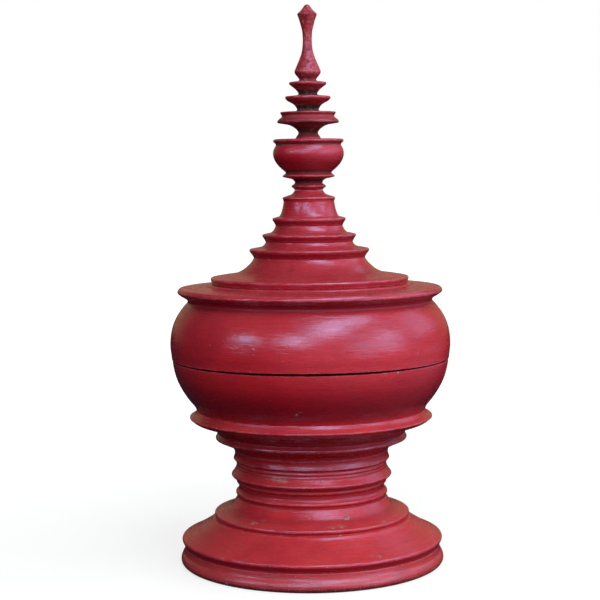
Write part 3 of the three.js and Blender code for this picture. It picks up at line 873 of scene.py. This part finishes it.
class VESSEL_OT_lid(bpy.types.Operator):
    """Hollow upper half of the belly with its flared rim"""

    bl_idname = "vessel.lid"
    bl_label = "Lid"

    def execute(self, context):
        foot = BOWL_RIM + context.scene.vessel_sizes.lid_gap / MM
        lip = REBATE_RADIUS + FIT
        inner = LID_RADIUS - WALL
        belly = (
            Outline(lip, foot)
            .line(BOWL_RADIUS + 0.8, foot)
            .curve((166.9, 254), (167.8, 261.7), (LID_RADIUS, 266.8), (167.4, 274.4), (166, 282.6),
                   (163.5, 291), (160.4, 297.7), (156.4, 304.2), (151.4, 310.7), (146.9, 315.6))
            .curve((146.5, 317.6), (148.6, 320.5), (153.3, 323.3), (LID_RIM_RADIUS - 1, 326.6))
            .round(LID_RIM_RADIUS + 0.8, 329.4, LID_RIM_RADIUS - 3.2, 332.6)
            .line(PLINTH_RADIUS + 3.2, 335.3)
            .line(PLINTH_RADIUS + 2.4, 336.6)
            .line(PLINTH_RADIUS - 4, LID_TOP)
            .line(98, LID_TOP)
            .line(98, LID_CEILING)
            .line(126, LID_CEILING)
            .curve((138, 314), (149, 298), (inner - 1, 280), (inner, foot + LID_LIP_HEIGHT + 4))
            .line(lip, foot + LID_LIP_HEIGHT)
        )
        turned("lid_belly", belly, "lid", closed=True, seed=51)
        return {"FINISHED"}


class VESSEL_OT_spire(bpy.types.Operator):
    """Plinth and cone, three tiers and the cap of the stepped spire"""

    bl_idname = "vessel.spire"
    bl_label = "Spire"

    def execute(self, context):
        base = (
            Outline(97.5, LID_CEILING)
            .line(97.5, LID_TOP)
            .line(PLINTH_RADIUS - 2, LID_TOP)
            .line(PLINTH_RADIUS, 343.4)
            .line(PLINTH_RADIUS - 1.2, 345)
            .curve((106.1, 346.9), (96, 348.1), (86, 350.6), (78.4, 354.8), (74.1, 358.4), (70.4, 362.1),
                   (67.9, 365.2), (66.6, PLINTH_TOP))
        )
        turned("spire_base", base, "lid", edge=0.2, seed=61)
        low, middle, high = TIER_RADII
        tier_1 = (
            Outline(66.6, PLINTH_TOP)
            .curve((68.9, 372), (low - 1, 374.4), (low - 0.1, 376.6))
            .round(low + 0.1, 378, low - 1.4, 378.5)
            .line(57.4, 380.9)
            .curve((54.4, 383), (52.7, 385.4), (52.3, TIER_TOPS[0]))
        )
        turned("spire_tier_1", tier_1, "lid", edge=0.2, seed=62)
        tier_2 = (
            Outline(52.3, TIER_TOPS[0])
            .curve((53.6, 389.6), (55.3, 392.2), (middle - 0.1, 393.8))
            .round(middle + 0.1, 395.4, middle - 1.2, 395.8)
            .line(45.3, 397.9)
            .curve((42.9, 400.4), (40.8, 404), (40.1, TIER_TOPS[1]))
        )
        turned("spire_tier_2", tier_2, "lid", edge=0.2, seed=63)
        tier_3 = (
            Outline(40.1, TIER_TOPS[1])
            .curve((41.6, 409.2), (43.2, 411.6), (high, 413.2))
            .round(high + 0.1, 414.9, high - 1.2, 415.2)
            .line(35.8, TIER_TOPS[2])
        )
        turned("spire_tier_3", tier_3, "lid", edge=0.2, seed=64)
        bore = FINIAL_SPIGOT_RADIUS + FIT
        socket_floor = CAP_TOP - FINIAL_SPIGOT_LENGTH - 1
        cap = (
            Outline(35.6, TIER_TOPS[2])
            .curve((34.1, 419.6), (31.8, 426.7), (30.4, 434.4))
            .curve((30.8, 436.4), (CAP_RADIUS, 438.2), (CAP_RADIUS - 0.4, 439.6))
            .curve((26.6, 441.2), (20.6, 443.4), (18.2, 445.8), (16.9, CAP_TOP))
            .line(bore, CAP_TOP)
            .line(bore, socket_floor)
        )
        turned("spire_cap", cap, "lid", edge=0.2, seed=65)
        return {"FINISHED"}


class VESSEL_OT_finial(bpy.types.Operator):
    """Bulb on its bead and disc, and the parasols that end in a bud"""

    bl_idname = "vessel.finial"
    bl_label = "Finial"

    def execute(self, context):
        foot = CAP_TOP + FIT
        spigot_foot = foot - FINIAL_SPIGOT_LENGTH
        bulb = (
            Outline(FINIAL_SPIGOT_RADIUS, spigot_foot)
            .line(FINIAL_SPIGOT_RADIUS, foot)
            .line(16.9, foot)
            .curve((18.2, 450.2), (20.5, 451.8), (20.7, 453), (19.6, 454.1), (17.2, 455.6), (16.5, 456.9))
            .curve((17.3, 458.9), (20.2, 461.2), (25.9, 462.5), (30.6, 463.7))
            .round(32.4, 465, 29.6, 466.4)
            .curve((27.4, 468.6), (29.2, 470.9), (33.3, 474.3), (37.6, 479), (40.6, 484), (42.1, 488.5),
                   (BULB_RADIUS, 491.8), (41.7, 495.8), (40.2, 499.2), (38.8, 501.8), (40.2, 504))
            .round(42.8, 505.6, 42.0, 507.4)
            .line(40.4, BULB_TOP)
        )
        turned("finial_bulb", bulb, "finial", edge=0.25, seed=71)
        low, middle, high = PARASOL_RADII
        parasols = (
            Outline(15.4, BULB_TOP)
            .curve((14, 511.6), (11.9, 514.4), (11.7, 516.6), (12.6, 518.2), (14.6, 520.5), (17.9, 522.9),
                   (22.6, 525.2), (30, 526.6), (low - 0.6, 527.6))
            .line(low, 528.8)
            .curve((36.2, 530.6), (33.8, 532.8), (31.5, 534.8), (31.4, 536.4), (32.6, 538.4), (33.2, 539.6))
            .line(32.6, 540.6)
            .line(14.2, 541.6)
            .curve((12.9, 543.2), (14.4, 546.5), (16.3, 548.9), (20, 551.3), (24.3, 553.6),
                   (middle - 0.6, 556.2))
            .round(middle + 0.3, 558, middle - 0.9, 559)
            .line(12.4, 560.4)
            .curve((11.1, 562), (12.1, 564.2), (14, 566.5), (18.2, 570.1), (high - 0.8, 572.6))
            .round(high + 0.4, 574.4, high - 0.5, 575.6)
            .line(11.6, 577)
            .curve((10, 578.4), (12, 581.6), (14.4, 584.6), (15.7, 587.7), (14.1, 592.4), (10, 601.8),
                   (6.8, 611.2), (5.5, 622), (5.9, 634.6), (7.5, 641.6), (9.4, 648.6), (11.3, 654),
                   (BUD_RADIUS, 655.6))
            .line(7.9, 659.2)
            .curve((5, 662.8), (2.9, 665.7), (0, TIP))
        )
        turned("finial_parasols", parasols, "finial", edge=0.25, depth=0.15, seed=72)
        return {"FINISHED"}


class VESSEL_OT_pegs(bpy.types.Operator):
    """Bare teak of the dowel and of the pegs, which are hidden while the vessel is closed"""

    bl_idname = "vessel.pegs"
    bl_label = "Dowel and pegs"

    def execute(self, context):
        teak = finish_named(TEAK)
        for name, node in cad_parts.items():
            if "_peg_" in name or name == "stand_dowel":
                node.data.materials.clear()
                node.data.materials.append(teak)
        return {"FINISHED"}


class VESSEL_OT_stage(bpy.types.Operator):
    """Pale floor, soft studio light and the camera"""

    bl_idname = "vessel.stage"
    bl_label = "Stage"

    def execute(self, context):
        make_floor()
        make_world()
        make_lights()
        make_camera()
        context.scene.view_settings.view_transform = "Standard"
        return {"FINISHED"}


FLOOR_HALF = 12.0
FLOOR_PAPER = (0.41, 0.26, 0.16, 1)
FLOOR_DARK = (0.02, 0.02, 0.02, 1)
FLOOR_PALE = (0.68, 0.40, 0.34, 1)


def make_floor():
    """A flat square far wider than the view, white to the camera and with the vessel's shadow.

    To the camera it glows more with distance, as the lamps that light it fall off. Every other ray
    meets a floor that is dark at the left and pale at the front right, where the room glows.
    """
    mesh = bpy.data.meshes.new("floor")
    corners = [(FLOOR_HALF * x, FLOOR_HALF * y, 0) for x, y in ((-1, -1), (1, -1), (1, 1), (-1, 1))]
    mesh.from_pydata(corners, [], [(0, 1, 2, 3)])
    material, tree = new_material("white_paper_sweep")
    seen = add_node(tree, "ShaderNodeLightPath", output="Is Camera Ray")
    place = add_node(tree, "ShaderNodeTexCoord", output="Object")
    away = add_node(tree, VECTOR, {0: place}, output="Value", operation="LENGTH")
    strength = add_node(tree, RANGE, {0: away, 1: 0.2, 2: 2.0, 3: 0.75, 4: 1.0}, **SMOOTH)
    paper = add_node(tree, "ShaderNodeBsdfDiffuse", {"Color": FLOOR_PAPER})
    glow = add_node(tree, "ShaderNodeEmission", {"Strength": strength})
    bright = add_node(tree, "ShaderNodeAddShader", {0: paper, 1: glow})
    side = add_node(tree, VECTOR, {0: place, 1: GLOW_SIDE}, **DOT)
    share = add_node(tree, RANGE, {0: side, 1: 0.1, 2: 0.9})
    hidden = add_node(tree, MIX, {0: share, 6: FLOOR_DARK, 7: FLOOR_PALE}, **COLOUR_MIX)
    plain = add_node(tree, "ShaderNodeBsdfDiffuse", {"Color": hidden})
    both = add_node(tree, "ShaderNodeMixShader", {0: seen, 1: plain, 2: bright})
    add_node(tree, "ShaderNodeOutputMaterial", {"Surface": both})
    mesh.materials.append(material)
    floor = bpy.data.objects.new("floor", mesh)
    bpy.context.scene.collection.objects.link(floor)


# What surrounds the vessel, apart from the lamps: a dim room with a window's glow at the front right,
# and a warm low wall behind
ROOM_DIM = (0.015, 0.012, 0.015, 1)
ROOM_GLOW = (0.5, 0.58, 0.9, 1)
ROOM_BEHIND = (0.36, 0.23, 0.15, 1)
GLOW_SIDE = Vector((0.75, -0.64, 0.15))


def make_world():
    """White to the camera. Every other ray meets the room, coloured by the direction it goes in."""
    world = bpy.data.worlds.new("studio")
    bpy.context.scene.world = world
    world.use_nodes = True
    tree = world.node_tree
    tree.nodes.clear()
    seen = add_node(tree, "ShaderNodeLightPath", output="Is Camera Ray")
    direction = add_node(tree, "ShaderNodeTexCoord", output="Generated")
    facing = add_node(tree, VECTOR, {0: direction, 1: GLOW_SIDE}, **DOT)
    glow = add_node(tree, RANGE, {0: facing, 1: 0.35, 2: 1.0}, **SMOOTH)
    apart = add_node(tree, "ShaderNodeSeparateXYZ", {0: direction}).node.outputs
    behind = add_node(tree, RANGE, {0: apart["Y"], 1: 0.4, 2: 0.95}, **SMOOTH)
    low = add_node(tree, RANGE, {0: apart["Z"], 1: 0.6, 2: 0.25}, **SMOOTH)
    share = add_node(tree, MATH, {0: behind, 1: low}, **TIMES)
    front = add_node(tree, MIX, {0: glow, 6: ROOM_DIM, 7: ROOM_GLOW}, **COLOUR_MIX)
    room = add_node(tree, MIX, {0: share, 6: front, 7: ROOM_BEHIND}, **COLOUR_MIX)
    colour = add_node(tree, MIX, {0: seen, 6: room, 7: (1, 1, 1, 1)}, **COLOUR_MIX)
    backdrop = add_node(tree, "ShaderNodeBackground", {"Color": colour})
    add_node(tree, "ShaderNodeOutputWorld", {"Surface": backdrop})


# Each lamp: azimuth from the camera's side, positive to the right, and elevation, in degrees; the
# softbox's width and height in metres; power in watts; and whether it lights the lacquer, shines in it
# as a highlight, or both
LAMPS = {
    "left": (-55, 20, 1.5, 1.2, 113, "both"),
    "front": (-13, 23, 2.6, 0.9, 174, "both"),
    "window": (17, 42, 2.6, 1.8, 188, "both"),
    "pane": (67, 25, 1.5, 1.2, 54, "both"),
    "soft_high": (18, 52, 6.4, 3.6, 195, "light"),
    "soft_right": (84, 24, 5.2, 4.4, 180, "light"),
    "low_right": (55, 10, 5.0, 2.0, 145, "both"),
    "far_right": (110, 25, 3.4, 3.4, 74, "both"),
    "soft_top": (50, 70, 3.0, 2.0, 115, "light"),
    "skylight": (42, 59, 3.8, 1.2, 220, "shine"),
    "side_pane": (106, 51, 1.8, 1.0, 16, "shine"),
    "back": (144, 40, 1.6, 0.8, 12, "shine"),
    "behind": (180, 18, 4.0, 3.0, 200, "light"),
}
LAMP_COLOUR = (0.34, 0.60, 1.0)
LAMPS_AIM = Vector((0, 0, 0.3))
LAMPS_DISTANCE = 6.4


def make_lights():
    for name, (azimuth, elevation, width, height, power, use) in LAMPS.items():
        data = bpy.data.lights.new(name, "AREA")
        data.shape = "RECTANGLE"
        data.size, data.size_y = width, height
        data.energy = power
        data.color = LAMP_COLOUR
        across, up = math.radians(azimuth), math.radians(elevation)
        towards = Vector((math.sin(across) * math.cos(up), -math.cos(across) * math.cos(up), math.sin(up)))
        lamp = bpy.data.objects.new(name, data)
        lamp.location = LAMPS_AIM + towards * LAMPS_DISTANCE
        lamp.rotation_euler = towards.to_track_quat("Z", "Y").to_euler()
        lamp.visible_glossy = use != "light"
        lamp.visible_diffuse = use != "shine"
        bpy.context.scene.collection.objects.link(lamp)


# The camera, fitted to the ellipses of the vessel's rims
CAMERA_DISTANCE = 1.836
CAMERA_PITCH = math.radians(4.708)
CAMERA_ROLL = math.radians(0.6)
AIM = Vector((-0.0118, 0, 0.3165))
LENS = 91.8


def make_camera():
    data = bpy.data.cameras.new("camera")
    data.lens = LENS
    data.sensor_width = 36
    data.clip_end = 100
    camera = bpy.data.objects.new("camera", data)
    back = Vector((0, -math.cos(CAMERA_PITCH), math.sin(CAMERA_PITCH)))
    camera.location = AIM + back * CAMERA_DISTANCE
    level = Euler((math.radians(90) - CAMERA_PITCH, 0, 0)).to_matrix().to_4x4()
    camera.rotation_euler = (level @ Matrix.Rotation(-CAMERA_ROLL, 4, "Z")).to_euler()
    bpy.context.scene.collection.objects.link(camera)
    bpy.context.scene.camera = camera


PIECES = ("foot", "stem", "bowl", "tray", "lid", "spire", "finial", "pegs", "stage")


class VESSEL_PT_panel(bpy.types.Panel):
    """Lists the vessel's pieces, its sizes and its finishes"""

    bl_idname = "VESSEL_PT_panel"
    bl_label = "Offering vessel"
    bl_space_type = "VIEW_3D"
    bl_region_type = "UI"
    bl_category = "Vessel"

    def draw(self, context):
        for piece in PIECES:
            self.layout.operator("vessel." + piece)
        for group in (context.scene.vessel_sizes, context.scene.vessel_finish):
            for name in group.__annotations__:
                self.layout.prop(group, name)


CLASSES = (
    VesselSizes,
    VesselFinish,
    VESSEL_OT_foot,
    VESSEL_OT_stem,
    VESSEL_OT_bowl,
    VESSEL_OT_tray,
    VESSEL_OT_lid,
    VESSEL_OT_spire,
    VESSEL_OT_finial,
    VESSEL_OT_pegs,
    VESSEL_OT_stage,
    VESSEL_PT_panel,
)


def register():
    for item in CLASSES:
        bpy.utils.register_class(item)
    bpy.types.Scene.vessel_sizes = PointerProperty(type=VesselSizes)
    bpy.types.Scene.vessel_finish = PointerProperty(type=VesselFinish)


def unregister():
    del bpy.types.Scene.vessel_finish
    del bpy.types.Scene.vessel_sizes
    for item in reversed(CLASSES):
        bpy.utils.unregister_class(item)


def main():
    register()
    for piece in PIECES:
        getattr(bpy.ops.vessel, piece)()
    bpy.context.view_layer.update()


if __name__ == "__main__":
    main()
